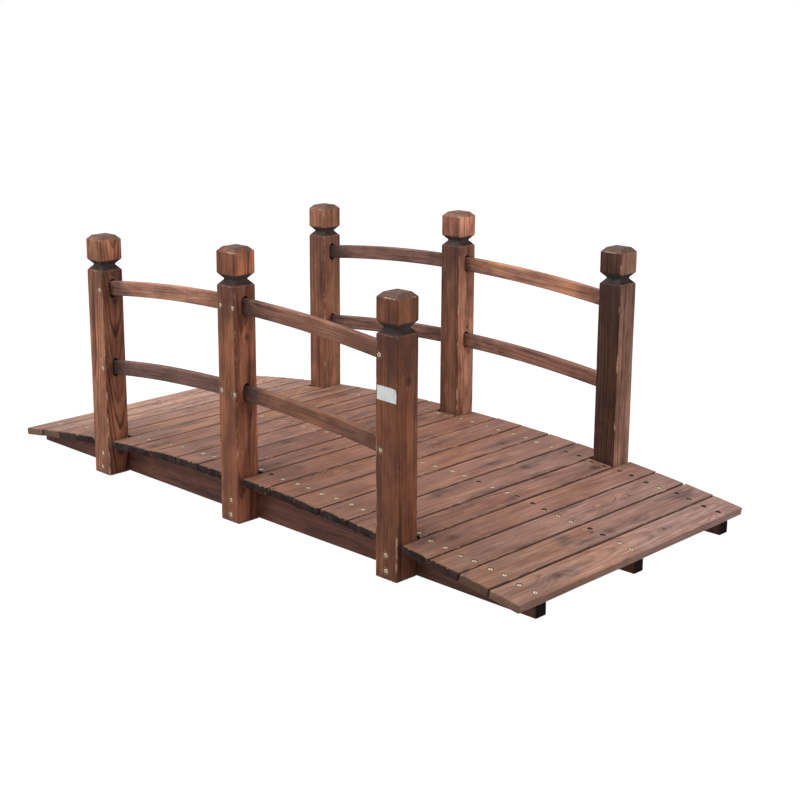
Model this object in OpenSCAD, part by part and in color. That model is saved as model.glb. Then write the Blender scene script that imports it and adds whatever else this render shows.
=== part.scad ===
// Arched wooden garden bridge: plank deck on three stringers, with two post and rail sides.
// X runs along the walkway, +X to its front end. Y runs across, +Y to its left side. Z is up.
// The origin is on the ground, under the middle of the deck.

/* [Overall] */
// Length of the deck from end to end
deck_length = 1498.6; // [1200:0.1:1900]
// Width over the outer faces of the posts
overall_width = 711.2; // [560:0.1:900]

/* [Stringers] */
// Thickness of each stringer
stringer_t = 28; // [20:1:45]
// Height of the stringer's arc at the two ends of the deck
stringer_end_h = 24; // [16:1:60]
// Rise of the arc from the ends of the deck to its middle
deck_rise = 57; // [30:1:110]
// Distance from the end of the deck to the end of a stringer
stringer_setback = 3; // [0:1:40]

/* [Deck boards] */
// Thickness of a deck board
board_t = 15.24; // [10:0.01:25]
// Gap between neighbouring boards
board_gap = 3.5; // [1:0.5:10]
// Distance from the posts' outer faces to the ends of the full boards
board_inset = 5; // [0:0.5:30]
// Distance from the posts' inner faces to the ends of the short boards
short_board_inset = 7; // [1:0.5:20]
// Gap between a post and the full board on each side of it
post_slot_gap = 6.5; // [2:0.5:15]
// Chamfer along the edges of a deck board
board_ease = 1.5; // [0.5:0.1:4]

/* [Posts] */
// Width of a square post
post_w = 54; // [40:0.1:75]
// Height of the four end posts
end_post_h = 533.4; // [480:0.1:700]
// Height of the two middle posts above the end posts
mid_post_extra = 27.6; // [10:0.1:60]
// Distance from the middle posts to the end posts
post_pitch = 440; // [340:1:560]
// Chamfer along the corners of a post
post_ease = 1.5; // [0.5:0.1:4]

/* [Post heads] */
// Height of the bevel round the top
bevel_h = 8.8; // [3:0.1:15]
// Width of the bevel round the top
bevel_in = 8.6; // [3:0.1:15]
// Height of the square block between the bevel and the neck
head_h = 43.2; // [25:0.1:60]
// Height of the grooved neck
neck_h = 24; // [12:0.1:30]
// Depth of the neck groove at its bottom
neck_depth = 10; // [4:0.1:15]
// Height of the flat at the bottom of the neck groove
neck_flat = 2; // [0.5:0.1:6]

/* [Rails] */
// Height of a rail
rail_h = 31; // [20:0.5:45]
// Thickness of a rail
rail_t = 15; // [10:0.5:22]
// Distance from the top of an end post down to the upper rail's centre line
upper_rail_down = 116.9; // [105:0.1:160]
// Height of the lower rail's centre line at the middle of the bridge
lower_rail_z = 269.5; // [180:0.5:300]
// Drop of the rails' arc from the middle post to an end post
rail_drop = 29; // [10:0.5:60]
// Chamfer along the edges of a rail
rail_ease = 1.5; // [0.5:0.1:4]
// Depth of a rail mortise in a post
mortise_depth = 16; // [8:0.5:22]
// Gap between each side of a rail and the wall of its mortise
mortise_side = 1.3; // [0.5:0.1:3]
// Extra gap above a rail in its mortise
mortise_over = 1.2; // [0:0.1:4]

/* [Hidden] */
// Clearance between a rail and its seats in a mortise
rail_clear = 0.3;
// Clearance between the underside of a deck board and the stringers
seat_clear = 0.1;
// Overrun of a cut past the face that it opens
overrun = 1;
// Full boards between a middle post and an end post
bay_boards = 5;
// Full boards between an end post and the end of the deck
approach_boards = 4;
// Facets of a full circle in the deck's and the rails' large arcs
arc_facets = 2880;
// Facets of a full circle in a mortise end
round_facets = 32;

deck_half = deck_length / 2;
post_half = post_w / 2;
post_y = overall_width / 2 - post_half;
stringer_y = post_y - post_half - stringer_t / 2;

// Circle of the stringers' top edge, and the deck's circles on it
stringer_r = (deck_half ^ 2 + deck_rise ^ 2) / (2 * deck_rise);
stringer_mid_h = stringer_end_h + deck_rise;
arc_z = stringer_mid_h - stringer_r;
board_r = stringer_r + seat_clear;
deck_r = board_r + board_t;

// Heights of the middle posts, and of the upper rails' centre line at the middle of the bridge
mid_post_h = end_post_h + mid_post_extra;
upper_rail_z = end_post_h - upper_rail_down + rail_drop;

// Circle of the rails' centre lines
rail_r = (post_pitch ^ 2 + rail_drop ^ 2) / (2 * rail_drop);

// Round ends of the mortises, which reach past a rail's edges until its chamfered corners clear
mortise_r = rail_t / 2 + mortise_side;
function round_depth(half_w) = mortise_r - sqrt(mortise_r ^ 2 - half_w ^ 2);
mortise_under = rail_clear + max(round_depth(rail_t / 2) - rail_ease, round_depth(rail_t / 2 - rail_ease));

// Angles on the deck's circle, from the middle of the bridge
function deck_angle(x) = asin(x / deck_r);
slot_half = post_half + post_slot_gap;
gap_angle = board_gap / deck_r * 180 / PI;
mid_slot = deck_angle(slot_half);
end_slot_inner = deck_angle(post_pitch - slot_half);
end_slot_outer = deck_angle(post_pitch + slot_half);
deck_end = deck_angle(deck_half);

// A row of like boards between two angles, each as [first angle, last angle, half length]
function board_row(from, to, count, half_length) =
    let (step = (to - from + gap_angle) / count)
    [for (i = [0 : count - 1]) [from + i * step, from + (i + 1) * step - gap_angle, half_length]];

full_half = overall_width / 2 - board_inset;
short_half = post_y - post_half - short_board_inset;
front_boards = concat(
    board_row(mid_slot, end_slot_inner, bay_boards, full_half),
    board_row(end_slot_inner + gap_angle, end_slot_outer - gap_angle, 1, short_half),
    board_row(end_slot_outer, deck_end, approach_boards, full_half)
);
middle_board = board_row(gap_angle - mid_slot, mid_slot - gap_angle, 1, short_half);
half_count = len(front_boards);
back_boards = [for (i = [half_count - 1 : -1 : 0])
    [-front_boards[i][1], -front_boards[i][0], front_boards[i][2]]];
boards = concat(back_boards, middle_board, front_boards);

// Names and places of the pieces that repeat
sides = [["left", 1], ["right", -1]];
stations = [["back", -1], ["middle", 0], ["front", 1]];
bays = [["back", -1], ["front", 1]];
levels = [["upper", upper_rail_z], ["lower", lower_rail_z]];
stringers = [["left", 1], ["middle", 0], ["right", -1]];
function stringer_name(s) = str(s[0], "_stringer");
function post_name(side, station) = str(side[0], "_", station[0], "_post");
function rail_name(side, bay, level) = str(side[0], "_", bay[0], "_", level[0], "_rail");
function board_name(i) = str("deck_board_", i < 9 ? "0" : "", i + 1);

// Rectangle about the origin with its four corners chamfered
module eased_rectangle(w, h, ease) {
    x = w / 2;
    y = h / 2;
    polygon([
        [x, ease - y], [x, y - ease], [x - ease, y], [ease - x, y],
        [-x, y - ease], [-x, ease - y], [ease - x, -y], [x - ease, -y]
    ]);
}

// Upright slot with round ends, about the origin
module round_slot(w, straight) {
    square([w, straight], center = true);
    for (end = [-1, 1])
        translate([0, end * straight / 2])
            circle(d = w, $fn = round_facets);
}

// Stringer: flat on the ground, with the deck's arc along its top
module stringer(side) {
    color("#4d2a20")
        translate([0, side * stringer_y, 0])
            rotate([90, 0, 0])
                linear_extrude(stringer_t, center = true)
                    intersection() {
                        translate([0, arc_z])
                            circle(stringer_r, $fn = arc_facets);
                        translate([stringer_setback - deck_half, 0])
                            square([deck_length - 2 * stringer_setback, stringer_mid_h]);
                    }
}

// Outline of a post as seen from any of its four sides
module post_profile(h) {
    neck_top = h - bevel_h - head_h;
    neck_mid = neck_top - neck_h / 2;
    right = [
        [post_half, 0],
        [post_half, neck_top - neck_h],
        [post_half - neck_depth, neck_mid - neck_flat / 2],
        [post_half - neck_depth, neck_mid + neck_flat / 2],
        [post_half, neck_top],
        [post_half, h - bevel_h],
        [post_half - bevel_in, h]
    ];
    left = [for (i = [len(right) - 1 : -1 : 0]) [-right[i][0], right[i][1]]];
    polygon(concat(right, left));
}

// Square post whose four sides all have the same profile, mitred at the corners
module post_blank(h) {
    intersection() {
        rotate([90, 0, 0])
            linear_extrude(post_w, center = true)
                post_profile(h);
        rotate([90, 0, 90])
            linear_extrude(post_w, center = true)
                post_profile(h);
        linear_extrude(h)
            eased_rectangle(post_w, post_w, post_ease);
    }
}

// Height of a rail's centre line above its height at the middle of the bridge, at a given x
function rail_lift(x) = sqrt(rail_r ^ 2 - x ^ 2) - rail_r;

// Blind mortise for a rail, cut from the face at face_x into the post towards the given direction
module mortise(face_x, direction, rail_z) {
    mid_x = face_x + direction * mortise_depth / 2;
    slope = abs(asin(mid_x / rail_r));
    slot_h = rail_h / cos(slope) + mortise_depth * tan(slope) + 2 * mortise_under + mortise_over;
    translate([face_x - direction * overrun, 0, rail_z + rail_lift(mid_x) + mortise_over / 2])
        rotate([90, 0, direction * 90])
            linear_extrude(mortise_depth + overrun)
                round_slot(2 * mortise_r, slot_h - 2 * mortise_r);
}

// Post on the outer face of a stringer, with a mortise for each rail end
module post(side, station) {
    x = station * post_pitch;
    h = station == 0 ? mid_post_h : end_post_h;
    color("#7d4a35")
        translate([0, side * post_y, 0])
            difference() {
                translate([x, 0, 0])
                    post_blank(h);
                for (bay = bays, level = levels)
                    if (station == 0 || station == bay[1]) {
                        into = station == 0 ? -bay[1] : bay[1];
                        mortise(x - into * post_half, into, level[1]);
                    }
            }
}

// Arched rail between two posts, with its ends in their mortises
module rail(side, bay, rail_z) {
    inner = post_half - mortise_depth + rail_clear;
    outer = post_pitch - inner;
    sweep = asin((outer + rail_h) / rail_r);
    color("#8a5a40")
        translate([0, side * post_y, rail_z])
            intersection() {
                translate([0, 0, -rail_r])
                    rotate([90, 0, 0])
                        rotate([0, 0, bay > 0 ? 90 - sweep : 90])
                            rotate_extrude(angle = sweep, $fn = arc_facets)
                                translate([rail_r, 0])
                                    eased_rectangle(rail_h, rail_t, rail_ease);
                translate([bay > 0 ? inner : -outer, -rail_t, -rail_drop - rail_h])
                    cube([outer - inner, 2 * rail_t, rail_drop + 2 * rail_h]);
            }
}

// Flat board laid on the stringers, square to their arc at the board's middle
module deck_board(i) {
    first = boards[i][0];
    last = boards[i][1];
    board_w = 2 * deck_r * sin((last - first) / 2);
    color("#8b6252")
        translate([0, 0, arc_z])
            rotate([0, (first + last) / 2, 0])
                translate([0, 0, board_r + board_t / 2])
                    rotate([90, 0, 0])
                        linear_extrude(2 * boards[i][2], center = true)
                            eased_rectangle(board_w, board_t, board_ease);
}

for (s = stringers)
    stringer(s[1]);
for (side = sides, station = stations)
    post(side[1], station[1]);
for (side = sides, bay = bays, level = levels)
    rail(side[1], bay[1], level[1]);
for (i = [0 : len(boards) - 1])
    deck_board(i);
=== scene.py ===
"""Arched wooden garden bridge: detailed timber pieces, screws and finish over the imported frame."""
import math
import random
from collections import namedtuple
from functools import reduce

import bmesh
import bpy
from mathutils import Matrix, Vector, noise


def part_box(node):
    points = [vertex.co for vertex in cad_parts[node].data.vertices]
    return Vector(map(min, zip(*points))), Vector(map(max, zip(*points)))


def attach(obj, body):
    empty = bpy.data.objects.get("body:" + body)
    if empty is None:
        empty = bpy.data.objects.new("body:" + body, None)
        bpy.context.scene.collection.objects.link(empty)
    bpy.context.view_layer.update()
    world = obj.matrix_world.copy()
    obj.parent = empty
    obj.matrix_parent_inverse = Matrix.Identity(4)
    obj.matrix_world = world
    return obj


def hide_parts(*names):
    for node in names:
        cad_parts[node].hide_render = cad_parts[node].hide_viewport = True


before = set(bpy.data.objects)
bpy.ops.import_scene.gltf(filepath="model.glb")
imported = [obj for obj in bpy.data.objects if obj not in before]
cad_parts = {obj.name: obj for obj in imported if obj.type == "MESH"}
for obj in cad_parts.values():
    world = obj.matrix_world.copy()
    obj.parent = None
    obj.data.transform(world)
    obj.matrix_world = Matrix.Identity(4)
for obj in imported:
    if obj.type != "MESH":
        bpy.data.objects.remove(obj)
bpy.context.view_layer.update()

# Fixes the noise that roughens the timber, which would otherwise change with the time of the run
NOISE_SEED = 1
noise.seed_set(NOISE_SEED)

# Lengths below are in millimetres, and MM turns them into the frame's metres.
MM = 0.001

# Arc of the stringers, which the boards follow
DECK_HALF = 749.3
STRINGER_END_H = 24.0
DECK_RISE = 57.0
STRINGER_R = (DECK_HALF ** 2 + DECK_RISE ** 2) / (2 * DECK_RISE)
ARC_CENTRE_Z = STRINGER_END_H + DECK_RISE - STRINGER_R

# Timber sections
BOARD_T = 15.24
POST_HALF = 27.0
RAIL_H = 31.0
RAIL_T = 15.0

# Post heads and feet
BEVEL_H = 8.8
BEVEL_IN = 8.6
CROWN_IN = 1.9 * BEVEL_IN
HEAD_H = 43.2
NECK_H = 24.0
NECK_DEPTH = 10.0
NECK_FLAT = 2.0
FOOT_EASE = 0.9
PROFILE_EASE = 1.2

# Arc of the rails and the mortises that hold their ends
POST_PITCH = 440.0
RAIL_DROP = 29.0
RAIL_R = (POST_PITCH ** 2 + RAIL_DROP ** 2) / (2 * RAIL_DROP)
MORTISE_DEPTH = 16.0
MORTISE_R = RAIL_T / 2 + 1.3
MORTISE_PAST_RAIL = 3.0
MORTISE_OVER = 1.2
MORTISE_STEPS = 12
CUT_PAST_FACE = 2.0

# How each kind of timber is meshed: radius of its edges, pitch of its sections, steps across its two pairs of
# sides, how far its points stray, and the length over which that changes
Timber = namedtuple("Timber", "edge pitch steps stray wave")
BOARD = Timber(1.5, 12.0, (10, 3), 0.5, 140.0)
POST = Timber(2.0, 22.0, (6, 6), 0.45, 160.0)
RAIL = Timber(2.2, 9.0, (5, 3), 0.4, 120.0)
STRINGER = Timber(1.8, 12.0, (8, 5), 0.4, 150.0)
CORNER_STEPS = 4

# Rounded end of a piece, as (distance back from the end, inset) for each step
END_EASE = 1.3
END_STEPS = ((0.35 * END_EASE, 0.25 * END_EASE), (0.0, 0.8 * END_EASE))

# Most that a board is cupped, crooked, turned in degrees and moved along its length
BOARD_CUP = 0.35
BOARD_CROOK = 0.9
BOARD_SKEW = 0.12
BOARD_SLIDE = 1.4

# Screw heads: rim as (change of radius, height), cross as (arm, half width), and lean in degrees
HEAD_R = 4.3
HEAD_RIM = ((-0.9, -1.5), (0.0, -0.55), (-0.12, -0.25), (-0.5, -0.08))
CROSS_MOUTH = (2.5, 0.62)
CROSS_FOOT = (1.3, 0.36)
CROSS_DEPTH = 1.25
CROSS_POINTS = 12
HEAD_STEPS = 2 * CROSS_POINTS
HEAD_LEAN = 4.0

# Screw holes, and how deep the heads lie in them
HOLE_R = 4.7
HOLE_FLARE = 0.8
HOLE_BELOW_HEAD = 1.6
HOLE_STEPS = 20
FLUSH_DEPTHS = (0.15, 0.8)
SUNK_DEPTHS = (2.2, 3.6)

# Places of the screws, and how far they stray from them
FOOT_SCREW_HEIGHTS = (47.0, 14.5)
FOOT_SCREW_STRAY = (2.0, 2.5)
BOARD_SCREW_SHARE = 0.24
BOARD_SCREW_STRAY = (4.0, 3.0)
SHORT_BOARD_SCREW_IN = 12.0
RAIL_SCREW_STRAY = 2.0
# Distance of the rails' screws from the face that a rail enters, on each station's posts, by the rail's level
RAIL_SCREW_IN = {
    "back": {"upper": 12.0, "lower": 12.5},
    "middle": {"upper": 8.5, "lower": 8.0},
    "front": {"upper": 7.2, "lower": 11.0},
}
# Share of sunk screws in the deck, and in the middle and far rows of its last boards
SUNK_SHARE = 0.04
MIDDLE_SUNK_SHARE = 0.5
FAR_SUNK_SHARE = 0.8
LAST_BOARDS = 6

# Blank label on a post's outer face: size, thickness, place (along X from the post's middle, off its face,
# and height), turn in degrees, and how fast a corner lifts from a given distance on
LABEL_POST = "right_front_post"
LABEL_SIZE = (26.5, 48.0)
LABEL_T = 0.25
LABEL_PLACE = (0.8, -0.35, 351.0)
LABEL_TURN = 1.5
LABEL_CURL = 16.0
LABEL_CURL_FROM = 0.62
LABEL_STEPS = 14

SIDES = {"left": 1, "right": -1}
STATIONS = ("back", "middle", "front")
BAYS = {"back": -1, "front": 1}
LEVELS = ("upper", "lower")
SHORT_BOARDS = (5, 11, 17)
BOARD_COUNT = 21

# Looks of single posts: brightness of the faces along X and along Y, that of the head beside the shaft, depth
# of the growth rings' colour, fading toward grey, and knots as (height, place across the face, size). A
# negative size puts a knot on the faces along X. Where a pith is given, with its lean, the rings show as a
# broad figure.
PostLook = namedtuple("PostLook", "tones heads rings faded knots pith lean", defaults=((), None, None))
POSTS = {
    "right_back_post": PostLook(
        (0.84, 0.97), (1.6, 0.7), 1.2, 0.15, ((262.0, 10.0, 3.0),), (-14.0, 4.0), (0.06, 0.0)),
    "right_middle_post": PostLook(
        (1.14, 0.64), (1.22, 0.78), 0.75, 0.0, ((382.0, 2.0, -3.5),), (-26.0, -11.0), (0.025, 0.01)),
    "right_front_post": PostLook((0.60, 0.43), (1.25, 1.0), 0.6, 0.0, ((375.0, 2.0, -5.5),)),
    "left_back_post": PostLook((1.14, 0.64), (1.17, 1.3), 0.8, 0.3),
    "left_middle_post": PostLook(
        (1.75, 0.46), (1.3, 1.5), 0.65, 0.35, ((300.0, 3.0, -4.0),), (-20.0, 9.0), (0.05, 0.02)),
    "left_front_post": PostLook((0.98, 0.17), (1.3, 1.0), 1.0, 0.6),
}
# Brightness of single rails, and how far they are faded toward grey
RAILS = {
    "right_back_upper_rail": (1.42, 0.0),
    "right_back_lower_rail": (0.55, 0.7),
    "right_front_upper_rail": (0.84, 0.0),
    "right_front_lower_rail": (0.70, 0.0),
    "left_back_upper_rail": (0.68, 0.6),
    "left_back_lower_rail": (0.64, 0.55),
    "left_front_upper_rail": (1.45, 0.0),
    "left_front_lower_rail": (0.88, 0.2),
}


def node_box(name):
    """Lowest and highest corner of a CAD node, in millimetres."""
    low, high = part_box(name)
    return Vector(low) / MM, Vector(high) / MM


def draws_for(name):
    """Random numbers of a piece's own, the same on every run."""
    return random.Random("garden bridge " + name)


def spread(draws, *limits):
    """A random number for each limit, between it and its negative."""
    return tuple(draws.uniform(-limit, limit) for limit in limits)


def either_side(draws, low, high):
    """A random number between two limits or between their negatives."""
    return draws.choice((-1, 1)) * draws.uniform(low, high)


# Mesh building

def between(start, end, count):
    """The points that part a line into equal steps, with its end and without its start."""
    return [
        tuple(s + step / count * (e - s) for s, e in zip(start, end))
        for step in range(1, count + 1)
    ]


def rounded_section(half_a, half_b, radius, flats_a, flats_b):
    """Points round a rectangle with rounded corners, its long and short flats split into equal steps."""
    arcs = []
    for turn, (sign_a, sign_b) in enumerate(((1, 1), (-1, 1), (-1, -1), (1, -1))):
        a, b = sign_a * (half_a - radius), sign_b * (half_b - radius)
        angles = [math.radians(90 * (turn + step / CORNER_STEPS)) for step in range(CORNER_STEPS + 1)]
        arcs.append([(a + radius * math.cos(angle), b + radius * math.sin(angle)) for angle in angles])
    points = []
    for turn, arc in enumerate(arcs):
        flats = flats_a if turn % 2 == 0 else flats_b
        points += arc + between(arc[-1], arcs[(turn + 1) % 4][0], flats)[:-1]
    return points


def eased_ends(half_length, pitch):
    """Stations along a piece as (place, inset), with both ends rounded over."""
    inner = half_length - END_EASE
    count = max(2, round(2 * inner / pitch))
    middle = [(-inner + 2 * inner * i / count, 0.0) for i in range(count + 1)]
    end = [(half_length - back, inset) for back, inset in END_STEPS]
    return [(-x, inset) for x, inset in reversed(end)] + middle + end


def stitch(mesh, loops, closed=True):
    """Joins loops of points in turn with faces and caps the first, and when closed the last."""
    for first, second in zip(loops, loops[1:]):
        for i in range(len(first)):
            j = (i + 1) % len(first)
            mesh.faces.new((first[i], first[j], second[j], second[i]))
    mesh.faces.new(reversed(loops[0]))
    if closed:
        mesh.faces.new(loops[-1])


def face_outward(mesh):
    """Turns all the faces of a mesh outward."""
    bmesh.ops.recalc_face_normals(mesh, faces=mesh.faces[:])


def loft(rings):
    """Closed mesh through rings with the same number of points."""
    mesh = bmesh.new()
    stitch(mesh, [[mesh.verts.new(point) for point in ring] for ring in rings])
    face_outward(mesh)
    return mesh


def roughen(mesh, draws, timber):
    """Moves every point a little by smooth noise, as sawn and planed timber is never quite true."""
    start = Vector([draws.uniform(0, 1000) for _ in range(3)])
    for vert in mesh.verts:
        vert.co += timber.stray * noise.noise_vector(vert.co / timber.wave + start)


def make_object(name, mesh, matrix):
    """Object from a mesh in millimetres, placed by a matrix in millimetres."""
    data = bpy.data.meshes.new(name)
    mesh.to_mesh(data)
    mesh.free()
    data.transform(Matrix.Scale(MM, 4))
    piece = bpy.data.objects.new(name, data)
    place = matrix.copy()
    place.translation = matrix.translation * MM
    piece.matrix_world = place
    bpy.context.scene.collection.objects.link(piece)
    bpy.context.view_layer.update()
    return piece


def cut(piece, cutter_mesh):
    """Cuts a mesh in the piece's own millimetres out of it."""
    face_outward(cutter_mesh)
    cutter = make_object(piece.name + "_cutter", cutter_mesh, Matrix())
    cutter.matrix_world = piece.matrix_world.copy()
    bpy.context.view_layer.update()
    modifier = piece.modifiers.new("cut", "BOOLEAN")
    modifier.operation = "DIFFERENCE"
    modifier.solver = "EXACT"
    modifier.object = cutter
    evaluated = piece.evaluated_get(bpy.context.evaluated_depsgraph_get())
    result = bpy.data.meshes.new_from_object(evaluated)
    result.materials.clear()
    piece.modifiers.clear()
    old = piece.data
    piece.data = result
    result.name = piece.name
    bpy.data.meshes.remove(old)
    bpy.data.objects.remove(cutter)


def frame_matrix(origin, along, across, through):
    """Placing matrix from an origin and three unit axes."""
    matrix = Matrix((along, across, through)).transposed().to_4x4()
    matrix.translation = origin
    return matrix


# Screws

def turned_loops(mesh, profile, steps, matrix, first_step=0):
    """Rings of points turned from (radius, height) points, added to a mesh."""
    angles = [2 * math.pi * step / steps for step in range(first_step, first_step + steps)]
    loops = []
    for radius, height in profile:
        points = [Vector((radius * math.cos(angle), radius * math.sin(angle), height)) for angle in angles]
        loops.append([mesh.verts.new(matrix @ point) for point in points])
    return loops


def add_screw_hole(mesh, depth, matrix):
    """Countersunk hole whose screw head lies a given depth below the surface."""
    profile = [
        (HOLE_R, -depth - HOLE_BELOW_HEAD), (HOLE_R, -HOLE_FLARE),
        (HOLE_R + HOLE_FLARE, 0.0), (HOLE_R + 2 * HOLE_FLARE, 1.0),
    ]
    stitch(mesh, turned_loops(mesh, profile, HOLE_STEPS, matrix))


def cross_outline(arm, width):
    """Points round a cross, starting at the first arm's lower corner."""
    points = []
    for turn in range(4):
        cos, sin = math.cos(math.pi / 2 * turn), math.sin(math.pi / 2 * turn)
        for a, b in ((arm, -width), (arm, width), (width, width)):
            points.append((a * cos - b * sin, a * sin + b * cos))
    return points


def add_screw_head(mesh, matrix):
    """Domed screw head with a cross recess, its top at the matrix's origin."""
    profile = [(HEAD_R + wider, height) for wider, height in HEAD_RIM]
    loops = turned_loops(mesh, profile, HEAD_STEPS, matrix, first_step=-1)
    stitch(mesh, loops, closed=False)
    mouth, foot = (
        [mesh.verts.new(matrix @ Vector((a, b, height))) for a, b in cross_outline(*cross)]
        for cross, height in ((CROSS_MOUTH, 0.0), (CROSS_FOOT, -CROSS_DEPTH))
    )
    top = loops[-1]
    # The cross recess's walls and floor take the second material, which is painted shade.
    for i in range(CROSS_POINTS):
        j = (i + 1) % CROSS_POINTS
        k = 2 * i
        mesh.faces.new((top[k], top[k + 1], top[(k + 2) % HEAD_STEPS], mouth[j], mouth[i]))
        mesh.faces.new((mouth[i], mouth[j], foot[j], foot[i])).material_index = 1
    mesh.faces.new(foot).material_index = 1


def drive_screws(piece, screws, heads, draws):
    """Cuts a hole for each screw in a piece and adds its head to a mesh in the bridge's frame."""
    holes = bmesh.new()
    to_bridge = piece.matrix_world.copy()
    to_bridge.translation = to_bridge.translation / MM
    for origin, outward, depth in screws:
        turn = Matrix.Rotation(draws.uniform(0, math.pi), 4, "Z")
        aim = Vector(outward).to_track_quat("Z", "Y").to_matrix().to_4x4()
        aim.translation = origin
        add_screw_hole(holes, depth, aim)
        lean = Matrix.Rotation(math.radians(draws.uniform(-HEAD_LEAN, HEAD_LEAN)), 4, "X")
        add_screw_head(heads, to_bridge @ aim @ Matrix.Translation((0, 0, -depth)) @ lean @ turn)
    cut(piece, holes)


def screw_depth(draws, sunk_share):
    """Depth of a screw head below the wood: most nearly flush, some sunk."""
    return draws.uniform(*(SUNK_DEPTHS if draws.random() < sunk_share else FLUSH_DEPTHS))


# Timber pieces

# What a piece tells its wood unless it differs: brightness of the whole and of the faces along its Y and Z
# axes, that of a post's head on those faces, scorch at its two ends and char on its end faces, painted shade
# with scorch along its two sides where they face a gap, warmth, smoke and fading of its stain, depth of its
# rings' colour, and bend
PLAIN_WOOD = {
    "tone": (1.0, 1.0, 1.0), "head": (1.0, 1.0), "scorch": (0.0, 0.0, 1.0), "dark_sides": (0.0, 0.0),
    "stain": (0.0, 0.0, 0.0), "rings": 1.0, "bend": 0.0,
}
# Numbers of knots and screws that it tells of, and what stands for one that it lacks
KNOTS_PER_PIECE = 4
SCREWS_PER_PIECE = 6
NO_KNOT = (1.0e5, 0.0, 1.0)
NO_SCREW = (0.0, 0.0, 1.0e5)


def describe(piece, draws, half, pith, lean, knots=(), screws=(), **own):
    """Keeps on a piece what its wood needs to know, in the piece's own millimetres."""
    offset = [draws.uniform(0, 4000) for _ in range(3)]
    facts = {"half_size": half, "grain_offset": offset, "pith": (0.0, *pith), "lean": (0.0, *lean)}
    facts.update(PLAIN_WOOD)
    facts.update(own)
    for i in range(KNOTS_PER_PIECE):
        facts[f"knot_{i + 1}"] = knots[i] if i < len(knots) else NO_KNOT
    for i in range(SCREWS_PER_PIECE):
        facts[f"screw_{i + 1}"] = screws[i][0] if i < len(screws) else NO_SCREW
    for name, value in facts.items():
        single = isinstance(value, float)
        piece[name] = value if single else [float(part) for part in (*value, 0.0)][:3]


def settle(piece, slot, *materials, node=None, crease=32):
    """Gives a finished piece its materials and smooth shading, puts it under the root and hides the node that
    it stands for, if any. The slot is not used.
    """
    for material in materials:
        piece.data.materials.append(material)
    piece.data.shade_smooth()
    piece.data.set_sharp_from_angle(angle=math.radians(crease))
    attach(piece, "root")
    if node:
        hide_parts(node)


# The deck is darkest in its middle, and lighter by these amounts at its two ends.
BOARD_TONE = 0.57
BACK_LIGHTER = 0.74
FRONT_LIGHTER = 0.42
BOARD_TONE_STRAY = 0.09
# Extra shade on the near ends of the first and last few boards, as (number of boards, shade)
BACK_SHADE = (4, 1.3)
FRONT_SHADE = (3, 0.8)
# Char on the boards' end faces falls off toward this share of the deck's half length.
PALE_ENDS_AT = 0.98
PALE_ENDS_SLOPE = 4.0
LEAST_END_CHAR = 0.25
# Painted shade with scorch down the gaps between boards; the outermost sides of the first and last boards have
# none
GAP_SHADE_AND_SCORCH = 0.65
FRONT_FADED = 0.8


def board_finish(number, x, draws):
    """How the wood of a board at x along the bridge differs from plain wood."""
    share = x / DECK_HALF
    tone = BOARD_TONE + (BACK_LIGHTER if x < 0 else FRONT_LIGHTER) * share ** 2
    near_shade = 0.0
    if number <= BACK_SHADE[0]:
        near_shade = BACK_SHADE[1]
    elif number > BOARD_COUNT - FRONT_SHADE[0]:
        near_shade = FRONT_SHADE[1]
    end_char = min(1.0, max(LEAST_END_CHAR, PALE_ENDS_SLOPE * (PALE_ENDS_AT - abs(share))))
    return {
        "tone": (tone + draws.uniform(-BOARD_TONE_STRAY, BOARD_TONE_STRAY), 1.0, 1.0),
        "scorch": (near_shade + draws.uniform(0.45, 1.0), draws.uniform(0.0, 0.4), end_char),
        "dark_sides": (0.0 if number == BOARD_COUNT else GAP_SHADE_AND_SCORCH, 0.0 if number == 1 else GAP_SHADE_AND_SCORCH),
        "stain": (draws.uniform(-0.15, 0.1), draws.uniform(-0.12, 0.06), FRONT_FADED * max(0.0, share)),
        "rings": draws.uniform(0.7, 1.0),
    }


def board_screws(number, half_l, half_w, draws):
    """Two screws over each stringer, as drive_screws takes them; short boards have theirs near the ends."""
    end_row = sum(node_box("left_stringer"), Vector()).y / 2
    if number in SHORT_BOARDS:
        end_row = half_l - SHORT_BOARD_SCREW_IN
    screws = []
    for row in (-end_row, 0.0, end_row):
        sunk_share = SUNK_SHARE
        if number > BOARD_COUNT - LAST_BOARDS and row >= 0:
            sunk_share = FAR_SUNK_SHARE if row > 0 else MIDDLE_SUNK_SHARE
        for side in (-1, 1):
            along, across = spread(draws, *BOARD_SCREW_STRAY)
            place = Vector((row + along, side * 2 * half_w * BOARD_SCREW_SHARE + across, BOARD_T / 2))
            screws.append((place, (0, 0, 1), screw_depth(draws, sunk_share)))
    return screws


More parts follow.
